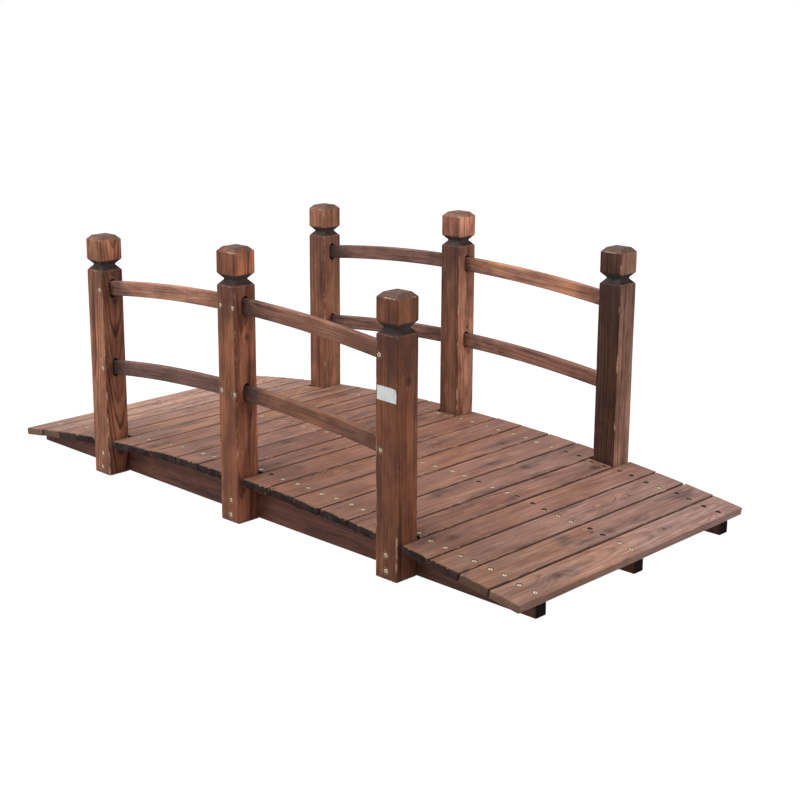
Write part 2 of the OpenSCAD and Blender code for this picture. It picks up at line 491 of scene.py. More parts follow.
def deck_board(number, material, heads):
    """Flat board with rounded edges on the stringers, square to their arc."""
    node = f"deck_board_{number:02d}"
    draws = draws_for(node)
    low, high = node_box(node)
    centre = (low + high) / 2
    tilt = math.atan2(centre.x, centre.z - ARC_CENTRE_Z)
    half_l = (high.y - low.y) / 2
    half_w = ((high.x - low.x) - BOARD_T * abs(math.sin(tilt))) / (2 * math.cos(tilt))
    half_t = BOARD_T / 2

    rings = []
    for x, inset in eased_ends(half_l, BOARD.pitch):
        section = rounded_section(half_w - inset, half_t - inset, BOARD.edge - inset / 2, *BOARD.steps)
        rings.append([Vector((x, a, b)) for a, b in section])
    mesh = loft(rings)
    cup, crook = spread(draws, BOARD_CUP, BOARD_CROOK)
    for vert in mesh.verts:
        vert.co.z += cup * ((vert.co.y / half_w) ** 2 - 0.5)
        vert.co.y += crook * ((vert.co.x / half_l) ** 2 - 0.5)
    roughen(mesh, draws, BOARD)

    up = Vector((math.sin(tilt), 0, math.cos(tilt)))
    along = Vector((0, 1, 0))
    skew, slide = spread(draws, BOARD_SKEW, BOARD_SLIDE)
    place = frame_matrix(centre, along, up.cross(along), up) @ Matrix.Translation((slide, 0, 0))
    piece = make_object(node + "_plank", mesh, place @ Matrix.Rotation(math.radians(skew), 4, "Z"))
    screws = board_screws(number, half_l, half_w, draws)
    drive_screws(piece, screws, heads, draws)

    knots = []
    for _ in range(draws.choice((2, 3, 3, 4))):
        x, y = spread(draws, 0.92, 0.75)
        knots.append((x * half_l, y * half_w, draws.uniform(3.5, 8.0)))
    pith = (either_side(draws, 5, 75), -draws.uniform(20, 70))
    lean = spread(draws, 0.03, 0.05)
    own = board_finish(number, centre.x, draws)
    describe(piece, draws, (half_l, half_w, half_t), pith, lean, knots, screws, **own)
    settle(piece, "deck_wood", material, node=node)


def post_outline(height):
    """Side of a post as (height, inset) points from its foot to its top."""
    neck_top = height - BEVEL_H - HEAD_H
    neck_mid = neck_top - NECK_H / 2
    return [
        (0.0, FOOT_EASE), (FOOT_EASE, 0.0), (neck_top - NECK_H, 0.0),
        (neck_mid - NECK_FLAT / 2, NECK_DEPTH), (neck_mid + NECK_FLAT / 2, NECK_DEPTH),
        (neck_top, 0.0), (height - BEVEL_H, 0.0), (height, BEVEL_IN),
    ]


def eased_outline(points):
    """The outline with each corner cut back to a small curve."""
    result = [points[0]]
    for before, corner, after in zip(points, points[1:], points[2:]):
        here = Vector(corner)
        back, on = Vector(before) - here, Vector(after) - here
        step = min(PROFILE_EASE, back.length * 0.45, on.length * 0.45)
        first, last = here + back.normalized() * step, here + on.normalized() * step
        result += [tuple(first), tuple(first / 4 + here / 2 + last / 4), tuple(last)]
    return result + [points[-1]]


def divided(points, pitch):
    """The outline with long straight stretches split into steps of about the given pitch."""
    result = [points[0]]
    for start, end in zip(points, points[1:]):
        result += between(start, end, max(1, round((end[0] - start[0]) / pitch)))
    return result


def rail_lift(x):
    """Height of a rail's centre line above its height at the middle of the bridge."""
    return math.sqrt(RAIL_R ** 2 - x ** 2) - RAIL_R


def rail_mid_height(side, bay, level):
    """Height of a rail's centre line carried on to the middle of the bridge."""
    low, high = node_box(f"{side}_{bay}_{level}_rail")
    inner_x = min(abs(low.x), abs(high.x))
    return high.z - (math.sqrt((RAIL_R + RAIL_H / 2) ** 2 - inner_x ** 2) - RAIL_R)


def add_mortise(mesh, across, centre_height, slope, into):
    """Round-ended slot in a post's face, into the post along its Y axis."""
    rail_h = RAIL_H / math.cos(slope) + MORTISE_DEPTH * math.tan(slope)
    reach = (rail_h + 2 * MORTISE_PAST_RAIL + MORTISE_OVER) / 2 - MORTISE_R
    outline = []
    for turn in range(2):
        middle = centre_height + MORTISE_OVER / 2 + (reach if turn == 0 else -reach)
        for step in range(MORTISE_STEPS + 1):
            angle = math.pi * (turn - 0.5 + step / MORTISE_STEPS)
            outline.append((middle + MORTISE_R * math.cos(angle), MORTISE_R * math.sin(angle)))
    stitch(mesh, [
        [mesh.verts.new((a, across + into * depth, b)) for a, b in outline]
        for depth in (-CUT_PAST_FACE, MORTISE_DEPTH)
    ])


def post(side, station, material, heads):
    """Square post with a grooved neck and a bevelled head, mortised for its rails."""
    node = f"{side}_{station}_post"
    draws = draws_for(node)
    low, high = node_box(node)
    height = high.z
    centre = (low + high) / 2
    outward = SIDES[side]

    rings = []
    for z, inset in divided(eased_outline(post_outline(height)), POST.pitch) + [(height, CROWN_IN)]:
        section = rounded_section(POST_HALF - inset, POST_HALF - inset, POST.edge, *POST.steps)
        rings.append([Vector((z - height / 2, a, b)) for a, b in section])
    mesh = loft(rings)
    roughen(mesh, draws, POST)
    axes = (Vector((0, 0, 1)), Vector((1, 0, 0)), Vector((0, 1, 0)))
    piece = make_object(node + "_timber", mesh, frame_matrix(centre, *axes))

    screws = []

    def add_screw(z, across):
        place = Vector((z - height / 2, across, outward * POST_HALF))
        screws.append((place, (0, 0, outward), screw_depth(draws, 0.0)))

    for z in FOOT_SCREW_HEIGHTS:
        rise, across = spread(draws, *FOOT_SCREW_STRAY)
        add_screw(z + rise, across)
    mortises = bmesh.new()
    for bay, toward in BAYS.items():
        if station not in (bay, "middle"):
            continue
        into = -toward if station == "middle" else toward
        face_x = centre.x - into * POST_HALF
        for level in LEVELS:
            mid_height = rail_mid_height(side, bay, level)
            mid_x = face_x + into * MORTISE_DEPTH / 2
            slope = abs(math.asin(mid_x / RAIL_R))
            mortise_height = mid_height + rail_lift(mid_x) - height / 2
            add_mortise(mortises, -into * POST_HALF, mortise_height, slope, into)
            screw_x = face_x + into * RAIL_SCREW_IN[station][level]
            rise, = spread(draws, RAIL_SCREW_STRAY)
            add_screw(mid_height + rail_lift(screw_x) + rise, screw_x - centre.x)
    cut(piece, mortises)
    drive_screws(piece, screws, heads, draws)

    look = POSTS[node]
    knots = [(z - height / 2, across, size) for z, across, size in look.knots]
    pith = (either_side(draws, 15, 55), either_side(draws, 15, 55))
    lean = spread(draws, 0.01, 0.01)
    half = (height / 2, POST_HALF, POST_HALF)
    describe(piece, draws, half, look.pith or pith, look.lean or lean, knots, screws,
             tone=(1.0, *look.tones), head=look.heads, rings=look.rings, stain=(0.0, 0.0, look.faded))
    settle(piece, "post_wood", material, node=node)


def rail(side, bay, level, material):
    """Arched rail sawn from straight-grained board, its ends in the posts' mortises."""
    node = f"{side}_{bay}_{level}_rail"
    draws = draws_for(node)
    low, high = node_box(node)
    first, last = math.asin(low.x / RAIL_R), math.asin(high.x / RAIL_R)
    middle = (first + last) / 2
    half_l = RAIL_R * math.sin((last - first) / 2)
    rings = []
    for x, inset in eased_ends(half_l, RAIL.pitch):
        section = rounded_section(RAIL_H / 2 - inset, RAIL_T / 2 - inset, RAIL.edge - inset / 2, *RAIL.steps)
        angle = math.asin(x / RAIL_R)
        sin, cos = math.sin(angle), math.cos(angle)
        rings.append([Vector((x + a * sin, RAIL_R * (cos - 1) + a * cos, b)) for a, b in section])
    mesh = loft(rings)
    roughen(mesh, draws, RAIL)
    x = RAIL_R * math.sin(middle)
    origin = Vector((x, (low.y + high.y) / 2, rail_mid_height(side, bay, level) + rail_lift(x)))
    along = Vector((math.cos(middle), 0, -math.sin(middle)))
    up = Vector((math.sin(middle), 0, math.cos(middle)))
    piece = make_object(node + "_strip", mesh, frame_matrix(origin, along, up, along.cross(up)))
    pith = (draws.uniform(-20, 20), either_side(draws, 12, 40))
    lean = spread(draws, 0.02, 0.02)
    knots = []
    if draws.random() < 0.5:
        knots.append((draws.uniform(-0.6, 0.6) * half_l, draws.uniform(-8, 8), draws.uniform(2.0, 3.5)))
    tone, faded = RAILS[node]
    describe(piece, draws, (half_l, RAIL_H / 2, RAIL_T / 2), pith, lean, knots,
             scorch=(draws.uniform(0.8, 1.0), draws.uniform(0.2, 0.7), 1.0), rings=draws.uniform(0.65, 1.0),
             tone=(tone, 1.0, 1.0), stain=(0.0, 0.0, faded), bend=1 / (2 * RAIL_R))
    settle(piece, "rail_wood", material, node=node)


def stringer(place, material):
    """Stringer with a flat foot and the deck's arc along its top."""
    node = f"{place}_stringer"
    draws = draws_for(node)
    low, high = node_box(node)
    half_t = (high.y - low.y) / 2
    rings = []
    for x, inset in eased_ends(high.x, STRINGER.pitch):
        top = math.sqrt(STRINGER_R ** 2 - x ** 2) + ARC_CENTRE_Z
        section = rounded_section(top / 2 - inset, half_t - inset, STRINGER.edge - inset / 2, *STRINGER.steps)
        rings.append([Vector((x, a + top / 2 - high.z / 2, b)) for a, b in section])
    mesh = loft(rings)
    roughen(mesh, draws, STRINGER)
    origin = Vector((0, (low.y + high.y) / 2, high.z / 2))
    axes = (Vector((1, 0, 0)), Vector((0, 0, 1)), Vector((0, -1, 0)))
    piece = make_object(node + "_beam", mesh, frame_matrix(origin, *axes))
    pith = (draws.uniform(-30, 30), either_side(draws, 20, 60))
    describe(piece, draws, (high.x, high.z / 2, half_t), pith, spread(draws, 0.02, 0.02))
    settle(piece, "stringer_wood", material, node=node)


def screw_set(name, heads, slot, plating, recess_shade_material):
    """All the screw heads of one kind of joint as one joined piece, with painted shade in their recesses."""
    face_outward(heads)
    settle(make_object(name, heads, Matrix()), slot, plating, recess_shade_material, crease=28)


def blank_label(material):
    """Plain pale sticker on a post's outer face, with one corner lifting."""
    low, high = node_box(LABEL_POST)
    tall, wide = LABEL_SIZE
    steps = LABEL_STEPS
    mesh = bmesh.new()
    layers = []
    for lift in (0.0, LABEL_T):
        grid = []
        for i in range(steps + 1):
            row = []
            for j in range(steps + 1):
                a, b = i / steps - 0.5, j / steps - 0.5
                curl = LABEL_CURL * max(0.0, a + b - LABEL_CURL_FROM) ** 2
                row.append(mesh.verts.new((b * wide, -(lift + curl), a * tall)))
            grid.append(row)
        layers.append(grid)
    back, face = layers
    for i in range(steps):
        for j in range(steps):
            for grid in layers:
                mesh.faces.new((grid[i][j], grid[i][j + 1], grid[i + 1][j + 1], grid[i + 1][j]))
    edge = [(0, j) for j in range(steps)] + [(i, steps) for i in range(steps)]
    edge += [(steps, j) for j in range(steps, 0, -1)] + [(i, 0) for i in range(steps, 0, -1)]
    for (a, b), (c, d) in zip(edge, edge[1:] + edge[:1]):
        mesh.faces.new((back[a][b], back[c][d], face[c][d], face[a][b]))
    face_outward(mesh)
    place = Matrix.Translation(Vector(((low.x + high.x) / 2, low.y, 0)) + Vector(LABEL_PLACE))
    piece = make_object("blank_label", mesh, place @ Matrix.Rotation(math.radians(LABEL_TURN), 4, "Y"))
    settle(piece, "post_wood", material)


# Materials

def colour(hex_code):
    """Linear colour from the six digits of a screen colour."""
    values = [int(hex_code[i:i + 2], 16) / 255 for i in (0, 2, 4)]
    linear = [v / 12.92 if v <= 0.04045 else ((v + 0.055) / 1.055) ** 2.4 for v in values]
    return (*linear, 1.0)


def operator(operation, swapped=False):
    """Method of a Field that adds a Math node."""
    def method(self, *others):
        return self.graph.math(operation, *((*others, self) if swapped else (self, *others)))
    return method


class Field:
    """A node's output. Arithmetic with it adds Math nodes to its tree."""

    def __init__(self, graph, socket):
        self.graph, self.socket = graph, socket

    __add__ = __radd__ = operator("ADD")
    __sub__ = operator("SUBTRACT")
    __rsub__ = operator("SUBTRACT", swapped=True)
    __mul__ = __rmul__ = operator("MULTIPLY")
    __truediv__ = operator("DIVIDE")
    __pow__ = operator("POWER")
    __lt__ = operator("LESS_THAN")
    __gt__ = operator("GREATER_THAN")
    __abs__ = operator("ABSOLUTE")


class Graph:
    """Adds nodes to a node tree. All methods but plug and node return fields."""

    def __init__(self, tree):
        self.tree = tree

    def plug(self, socket, value):
        """Links a field to a socket, or sets the socket to a number, a vector or a screen colour's digits."""
        if isinstance(value, Field):
            self.tree.links.new(value.socket, socket)
        else:
            socket.default_value = colour(value) if isinstance(value, str) else value

    def node(self, kind, inputs=(), **settings):
        """New node with its settings, and with its inputs plugged by name or number."""
        node = self.tree.nodes.new(kind)
        for key, value in settings.items():
            setattr(node, key, value)
        for key, value in dict(inputs).items():
            self.plug(node.inputs[key], value)
        return node

    def add(self, kind, inputs=(), output=0, **settings):
        return Field(self, self.node(kind, inputs, **settings).outputs[output])

    def math(self, operation, *values):
        return self.add("ShaderNodeMath", enumerate(values), operation=operation)

    def lowest(self, *values):
        return reduce(lambda a, b: self.math("MINIMUM", a, b), values)

    def highest(self, *values):
        return reduce(lambda a, b: self.math("MAXIMUM", a, b), values)

    def vector(self, operation, a, b):
        output = "Value" if operation == "DISTANCE" else "Vector"
        return self.add("ShaderNodeVectorMath", {0: a, 1: b}, output, operation=operation)

    def scaled(self, a, factor):
        return self.add("ShaderNodeVectorMath", {0: a, "Scale": factor}, "Vector", operation="SCALE")

    def split(self, value):
        return [Field(self, socket) for socket in self.node("ShaderNodeSeparateXYZ", {0: value}).outputs]

    def joined(self, *values):
        return self.add("ShaderNodeCombineXYZ", enumerate(values))

    def local(self):
        return self.add("ShaderNodeTexCoord", output="Object")

    def piece(self, name, output="Vector"):
        return self.add("ShaderNodeAttribute", (), output, attribute_type="OBJECT", attribute_name=name)

    def noise(self, place, detail=2.0, roughness=0.5, output="Fac"):
        inputs = {"Vector": place, "Scale": 1.0, "Detail": detail, "Roughness": roughness}
        return self.add("ShaderNodeTexNoise", inputs, output)

    def grain(self, domain, along, across, *details, output="Fac"):
        """Noise with the given turns a millimetre along the grain and across it."""
        return self.noise(self.vector("MULTIPLY", domain, (along, across, across)), *details, output=output)

    def white_noise(self, value):
        return self.add("ShaderNodeTexWhiteNoise", {"W": value}, "Value", noise_dimensions="1D")

    def smooth(self, value, start, end):
        """From 0 at start to 1 at end; start may be the larger."""
        inputs = {"Value": value, "From Min": start, "From Max": end}
        return self.add("ShaderNodeMapRange", inputs, "Result", interpolation_type="SMOOTHSTEP")

    def ramp(self, value, stops):
        node = self.node("ShaderNodeValToRGB", {0: value})
        elements = node.color_ramp.elements
        while len(elements) < len(stops):
            elements.new(0.5)
        for element, (place, level) in zip(elements, stops):
            element.position = place
            element.color = (level, level, level, 1.0)
        return Field(self, node.outputs[0])

    def mix(self, factor, a, b, blend="MIX"):
        inputs = {0: factor, 6: a, 7: b}
        return self.add("ShaderNodeMix", inputs, 2, data_type="RGBA", blend_type=blend)

    def mix_shader(self, factor, a, b):
        return self.add("ShaderNodeMixShader", enumerate((factor, a, b)))

    def bump(self, height, distance):
        return self.add("ShaderNodeBump", {"Strength": 1.0, "Distance": distance, "Height": height})


def lerp(share, a, b):
    """From a where the share is 0 to b where it is 1."""
    return a + share * (b - a)


def new_material(name):
    """Empty material with a principled shader, as (material, graph, shader node)."""
    material = bpy.data.materials.new(name)
    material.use_nodes = True
    shader = material.node_tree.nodes["Principled BSDF"]
    return material, Graph(material.node_tree), shader


def dress(g, shader, base, rough, height, relief):
    """Plugs a surface's colour, roughness and relief, which is in metres, into its shader."""
    g.plug(shader.inputs["Base Color"], base)
    g.plug(shader.inputs["Roughness"], rough)
    g.plug(shader.inputs["Normal"], g.bump(height, relief))


# Colours of a wood and of what lies on it, then sizes and strengths of what varies them: ring is the width of
# the growth rings, band is the smoky bands' turns a millimetre along and across the grain, flame is how far
# burning reaches from the ends, and fringe is a colour and its strength just short of them.
# A wood's pale edge mark, its strength and its reach, is partly scuffed wood and partly a painted highlight
# along the arrises.
Look = namedtuple("Look", (
    "early", "late", "smoke", "warm", "faded", "soot", "char", "pale", "fringe", "ring", "contrast", "band",
    "smoked", "warmed", "cloud", "streak", "end_char", "wear", "redder", "flame",
    "band_edges", "fibre", "gloss", "haze", "rubbed",
), defaults=((0.48, 0.7), 0.3, 0.2, 0.0, (2.0, 0.8)))
LOOKS = {
    "deck_wood": Look(
        early="b38b79", late="51372e", smoke="675656", warm="bd8964", faded="b2908a", soot="4e4140",
        char="181516", pale="d0a27c", fringe=("d0a27c", 0.3), ring=3.1, contrast=0.85, band=(0.009, 0.032),
        smoked=0.85, warmed=0.6, cloud=0.4, streak=0.45, end_char=0.95, wear=0.65, redder=0.3, flame=7.0,
        band_edges=(0.5, 0.74), fibre=0.45, gloss=0.3, haze=0.2,
    ),
    "post_wood": Look(
        early="bc795c", late="46231a", smoke="613a32", warm="cd8f66", faded="b99480", soot="625d5c",
        char="353130", pale="e6bf9f", fringe=("613a32", 0.21), ring=4.2, contrast=0.9, band=(0.0022, 0.06),
        smoked=0.75, warmed=0.6, cloud=0.7, streak=0.25, end_char=0.35, wear=0.7, redder=0.05, flame=60.0,
        rubbed=(3.4, 1.4),
    ),
    "rail_wood": Look(
        early="a67661", late="4c3229", smoke="544343", warm="b47c54", faded="a0827d", soot="3d3837",
        char="2a2728", pale="c39a7a", fringe=("544343", 0.54), ring=3.4, contrast=0.75, band=(0.006, 0.045),
        smoked=0.75, warmed=0.5, cloud=0.5, streak=0.22, end_char=0.9, wear=0.4, redder=0.13, flame=115.0,
    ),
    "stringer_wood": Look(
        early="84574a", late="42281f", smoke="463230", warm="8a5a40", faded="84574a", soot="2c2524",
        char="1e1b1b", pale="93705a", fringe=("463230", 0.56), ring=4.0, contrast=0.75, band=(0.003, 0.05),
        smoked=0.8, warmed=0.5, cloud=0.5, streak=0.3, end_char=0.94, wear=0.15, redder=0.13, flame=60.0,
    ),
}
POST_CAP = "604d47"
POST_SINGE = "3c2726"

# Distances over which marks on the wood come in, each from none to full
END_FACE = (1.7, 0.6)
FRINGE_REACH = (9.0, 0.0)
HAZE_REACH = (260.0, 60.0)
# Painted shade and scorch at a gap reach this far in from a board's side
GAP_SHADE_AND_SCORCH_REACH = (2.2, 0.6)
POST_EDGE = (2.2, 0.7)
# Burnt wood in a post's neck groove, and painted shade in mortises and screw holes, come in over these depths
HOLLOW_DEPTH = (0.8, 3.0)
SPLINTERS = (9.0, 5.2)
# Painted shade of a screw hole's gap, spread as a dark ring over the wood round it
HOLE_SHADE_RING = (6.8, 5.2)
NECK_SCORCH = (190.0, 70.0)
NECK_SCORCH_TOP = (62.0, 76.0)
# Width of the pale lines at a post's bevel and shoulder, which are painted highlight with some scuffing
RUB_AND_GLINT_LINE = (1.5, 0.3)
# The deck boards are greyer toward their far ends, between these places along them.
FADED_ALONG_BOARDS = (-300.0, 250.0)


def knot_fields(g, place):
    """Push of the knots on the rings, distance to the nearest in its own size, its darkness, and smoky trails.

    A knot lies at a place along the grain and across it, on the faces along the piece's Z axis, or, when its
    size is negative, on those along its Y axis.
    """
    x, y, z = g.split(place)
    push, core, dark, trail = 0.0, 1.0e5, 0.0, 0.0
    for i in range(1, KNOTS_PER_PIECE + 1):
        knot_x, knot_across, signed_size = g.split(g.piece(f"knot_{i}"))
        size, turned = abs(signed_size), signed_size < 0.0
        along, across = x - knot_x, lerp(turned, y, z) - knot_across
        along_2, across_2, size_2 = along * along, across * across, size * size
        reach = (along_2 * 0.14 + across_2) / (size_2 * 3.4)
        push = g.math("EXPONENT", reach * -0.7) * size * 1.2 + push
        near = g.math("SQRT", along_2 * 0.65 + across_2) / size
        smoky = g.smooth(g.white_noise(knot_x), 0.4, 0.7)
        dark = lerp(near < core, dark, g.highest(smoky, turned))
        core = g.lowest(near, core)
        stretch = (along_2 * 0.025 + across_2) / (size_2 * 2.2)
        trail = g.highest(trail, g.math("EXPONENT", stretch * -1.0) * smoky)
    return push, core, dark, trail


# A growth ring's colour from its inner to its outer side, as (place, darkness)
RING_STOPS = ((0.0, 0.0), (0.35, 0.05), (0.6, 0.32), (0.78, 1.0), (0.92, 1.0), (0.98, 0.0))
# Slow sway and fine ripple of the rings, as turns a millimetre along and across the grain, and reach
RING_SWAYS = ((0.0032, 0.012, 14.0), (0.03, 0.12, 1.0))


def ring_pattern(g, place, domain, push, look):
    """Dark latewood, from 0 to 1, in growth rings round a pith that leans along the piece."""
    x, _, _ = g.split(place)
    swayed = place
    for along, across, reach in RING_SWAYS:
        sway = g.vector("SUBTRACT", g.grain(domain, along, across, output="Color"), (0.5, 0.5, 0.5))
        swayed = g.vector("ADD", swayed, g.vector("MULTIPLY", sway, (0.0, reach, reach)))
    centre = g.vector("ADD", g.piece("pith"), g.scaled(g.piece("lean"), x))
    _, a, b = g.split(g.vector("SUBTRACT", swayed, centre))
    radius = g.math("SQRT", a * a + b * b) + push
    uneven = g.noise(g.joined(radius * 0.045, 7.3, 2.1), 1.0)
    turns = radius / look.ring + uneven * 3.2
    late = g.ramp(g.math("FRACT", turns), RING_STOPS)
    strength = g.white_noise(g.math("FLOOR", turns)) * 0.6 + 0.4
    faded = g.smooth(g.grain(domain, 0.007, 0.07), 0.32, 0.62)
    return late * strength * (faded * 0.4 + 0.6) * g.piece("rings", "Fac")


def box_distances(g, place):
    """Distances from a point to the faces of the piece's box: to the ends, and to the two pairs of sides."""
    x, y, z = g.split(place)
    half_x, half_y, half_z = g.split(g.piece("half_size"))
    straight_y = y + x * x * g.piece("bend", "Fac")
    return half_x - abs(x), half_y - abs(straight_y), half_z - abs(z)


def screw_distance(g, place):
    """Distance to the nearest screw of the piece."""
    screws = [g.piece(f"screw_{i}") for i in range(1, SCREWS_PER_PIECE + 1)]
    return g.lowest(*(g.vector("DISTANCE", place, screw) for screw in screws))


def shaded(g, base, level, look):
    """A colour made darker or lighter, the darks redder as a deeper stain is."""
    deep, lift = g.lowest(level, 1.0), g.highest(level, 1.0)
    channels = [deep ** (1.0 + share * look.redder) * lift for share in (-1.0, 0.3, 0.9)]
    return g.mix(1.0, base, g.joined(*channels), "MULTIPLY")


def varied(g, value, start, end, amount):
    """Brightness that strays from 1 by up to half the amount, as a noise goes from start to end."""
    return g.smooth(value, start, end) * amount + (1.0 - 0.5 * amount)


def grain_colour(g, domain, late, trail, fibre, fleck, fade_share, look):
    """Stained wood with smoky and warm stretches, growth rings and fine fibres."""
    band = g.grain(domain, *look.band, 4.0, 0.58)
    blotch = g.grain(domain, 0.007, 0.022, 3.0, 0.55)
    warmer, smokier, faded = g.split(g.piece("stain"))
    base = g.mix(g.smooth(blotch + warmer, 0.5, 0.7) * look.warmed, look.early, look.warm)
    base = g.mix(faded * fade_share, base, look.faded)
    smoke = g.smooth(band + smokier, *look.band_edges) * look.smoked
    base = g.mix(g.highest(smoke, trail * 0.65), base, look.smoke)
    base = g.mix(late * look.contrast, base, look.late)
    coarse = varied(g, g.grain(domain, 0.005, 0.2, 3.0, 0.6), 0.32, 0.68, look.streak)
    fine = varied(g, fibre, 0.3, 0.7, look.fibre)
    clouded = varied(g, g.grain(domain, 0.012, 0.03, 3.0, 0.6), 0.3, 0.7, look.cloud)
    base = shaded(g, base, coarse * fine * clouded, look)
    return g.mix(g.smooth(fleck, 0.6, 0.72) * look.fibre, base, look.late)


def with_knots(g, base, core, dark, look):
    """Knots over the grain: some are pale orange ovals, some dark-hearted and ringed."""
    base = g.mix(g.smooth(core, 1.8, 1.0) * (dark * 0.4 + 0.15), base, look.late)
    ring = g.math("SINE", core * 11.0)
    heart = g.mix(dark, look.pale, look.warm)
    heart = g.mix(dark * (ring * 0.2 + 0.5) + 0.1, heart, look.late)
    base = g.mix(g.smooth(core, 1.1, 0.6) * 0.7, base, heart)
    return g.mix(g.smooth(core, 0.75, 0.25) * dark * 0.8, base, look.char)


def toned(g, base, to_side_y, to_side_z, from_top, look):
    """Brightness set for the piece, which may differ between its two pairs of sides but not over a post's cap.
    """
    gain, tone_y, tone_z = g.split(g.piece("tone"))
    head_y, head_z, _ = g.split(g.piece("head"))
    below_cap = g.smooth(from_top, BEVEL_H - 1, BEVEL_H + 1)
    share = ((to_side_y < to_side_z) - 0.5) * below_cap + 0.5
    on_head = g.smooth(from_top, BEVEL_H + HEAD_H + 2, BEVEL_H + HEAD_H - 2)
    lift = lerp(on_head, 1.0, lerp(share, head_z, head_y))
    return shaded(g, base, gain * lift * lerp(share, tone_z, tone_y), look)


def round_screws(g, base, near_screw, fleck, look):
    """Pale splinters round a screw, and painted shade as a dark ring round its hole."""
    ragged = near_screw + (fleck - 0.5) * 7.0
    base = g.mix(g.smooth(ragged, *SPLINTERS) * 0.4, base, look.pale)
    # Painted shade: a dark ring round the hole, standing in for the shaded gap round the head
    return g.mix(g.smooth(near_screw, *HOLE_SHADE_RING) * 0.9, base, look.char)


def post_head(g, base, from_top, smoulder, look):
    """Dulled cap on a post, scorch below its neck, and pale lines at the bevel and the shoulder that are
    painted highlight on those edges, with some scuffing.
    """
    below_neck = from_top + (smoulder - 0.5) * 90.0
    singed = g.smooth(below_neck, *NECK_SCORCH) * g.smooth(from_top, *NECK_SCORCH_TOP)
    base = g.mix(singed * 0.55, base, POST_SINGE)
    dulled = g.smooth(from_top, BEVEL_H + 0.8, BEVEL_H - 0.8) * g.smooth(smoulder, 0.25, 0.52)
    base = g.mix(dulled * 0.75, base, POST_CAP)
    # Pale lines along the bevel's and the shoulder's edges: painted highlight, with some scuffing
    for height, strength in ((BEVEL_H, 0.75), (BEVEL_H + HEAD_H + NECK_H, 0.3)):
        line = g.smooth(abs(from_top - height), *RUB_AND_GLINT_LINE)
        base = g.mix(line * g.smooth(smoulder, 0.52, 0.64) * strength, base, look.pale)
    return base


def wood(name):
    """Stained and scorched softwood whose grain runs along each piece's own X axis."""
    look = LOOKS[name]
    material, g, shader = new_material(name)
    place = g.scaled(g.local(), 1 / MM)
    domain = g.vector("ADD", place, g.piece("grain_offset"))
    x, y, _ = g.split(place)
    half_x, _, _ = g.split(g.piece("half_size"))
    from_top = half_x - x
    to_end, to_side_y, to_side_z = box_distances(g, place)
    fibre = g.grain(domain, 0.012, 0.75, 4.0, 0.6)
    fleck = g.grain(domain, 0.06, 2.6, 2.0, 0.6)
    smoulder = g.grain(domain, 0.05, 0.05, 4.0, 0.6)
    flicker = smoulder - 0.5

    push, core, dark, trail = knot_fields(g, place)
    late = ring_pattern(g, place, domain, push, look)
    fade_share = g.smooth(x, *FADED_ALONG_BOARDS) if name == "deck_wood" else 1.0
    base = grain_colour(g, domain, late, trail, fibre, fleck, fade_share, look)
    base = with_knots(g, base, core, dark, look)
    base = toned(g, base, to_side_y, to_side_z, from_top, look)
    base = round_screws(g, base, screw_distance(g, place), fleck, look)

    smaller, larger = g.lowest(to_side_y, to_side_z), g.highest(to_side_y, to_side_z)
    depth = g.lowest(smaller, to_end)
    to_edge = g.highest(depth, g.lowest(larger, g.highest(smaller, to_end)))
    # Pale mark along the arrises: partly scuffed wood, partly a painted highlight where the edges catch the
    # light
    rub = g.smooth(g.grain(domain, 0.028, 0.09, 3.0, 0.6), 0.54, 0.64)
    worn_and_glint = g.smooth(to_edge, *look.rubbed) * rub * look.wear
    if name == "post_wood":
        base = g.mix(g.smooth(to_edge, *POST_EDGE) * 0.25, base, look.late)
    fringe_colour, fringe_strength = look.fringe
    fringe = g.smooth(to_end + flicker * 26.0, *FRINGE_REACH)
    base = g.mix(fringe * fringe_strength, base, fringe_colour)

    back, front, end_char = g.split(g.piece("scorch"))
    burnt = lerp(x > 0.0, back, front)
    base = g.mix(g.smooth(to_end, *HAZE_REACH) * burnt * look.haze, base, look.late)
    flame = g.smooth(to_end + flicker * (1.1 * look.flame), look.flame, -0.1 * look.flame)
    scorched = flame * g.lowest(burnt, 1.0) * end_char
    # Painted shade down into the gaps between boards, with their scorched edges, toward the latewood colour
    low_side, high_side, _ = g.split(g.piece("dark_sides"))
    gap_shade_and_scorch = lerp(y > 0.0, low_side, high_side)
    base = g.mix(g.smooth(to_side_y, *GAP_SHADE_AND_SCORCH_REACH) * gap_shade_and_scorch, base, look.late)
    at_end = g.smooth(to_end, *END_FACE) * look.end_char * end_char
    base = g.mix(at_end * 0.85, base, look.late)
    end_face = at_end * g.smooth(smoulder, 0.25, 0.45)
    # Deep in a post's neck groove the wood is burnt; deep in mortises and screw holes the same char colour is
    # painted shade.
    hollow_char_and_shade = g.smooth(depth, *HOLLOW_DEPTH) * g.smooth(to_end, BEVEL_H, BEVEL_H + 4.0) * 0.94
    char_and_shade = g.highest(end_face, scorched, hollow_char_and_shade)
    ash = g.mix((g.smooth(smoulder, 0.3, 0.7) + late) * 0.6, look.soot, look.char)
    base = g.mix(char_and_shade, base, ash)
    # The pale arris mark, scuffs and painted highlight together, kept out of the recesses
    base = g.mix(worn_and_glint * (1.0 - hollow_char_and_shade * 0.9), base, look.pale)
    if name == "post_wood":
        base = post_head(g, base, from_top, smoulder, look)

    rough = fibre * 0.16 + 0.56 + char_and_shade * 0.16 - late * 0.08
    height = late * 0.45 + fibre * 0.5 + fleck * 0.2 + smoulder * 0.2
    dress(g, shader, base, rough, height, 0.0008)
    g.plug(shader.inputs["Specular IOR Level"], (1.0 - char_and_shade) * look.gloss)
    return material


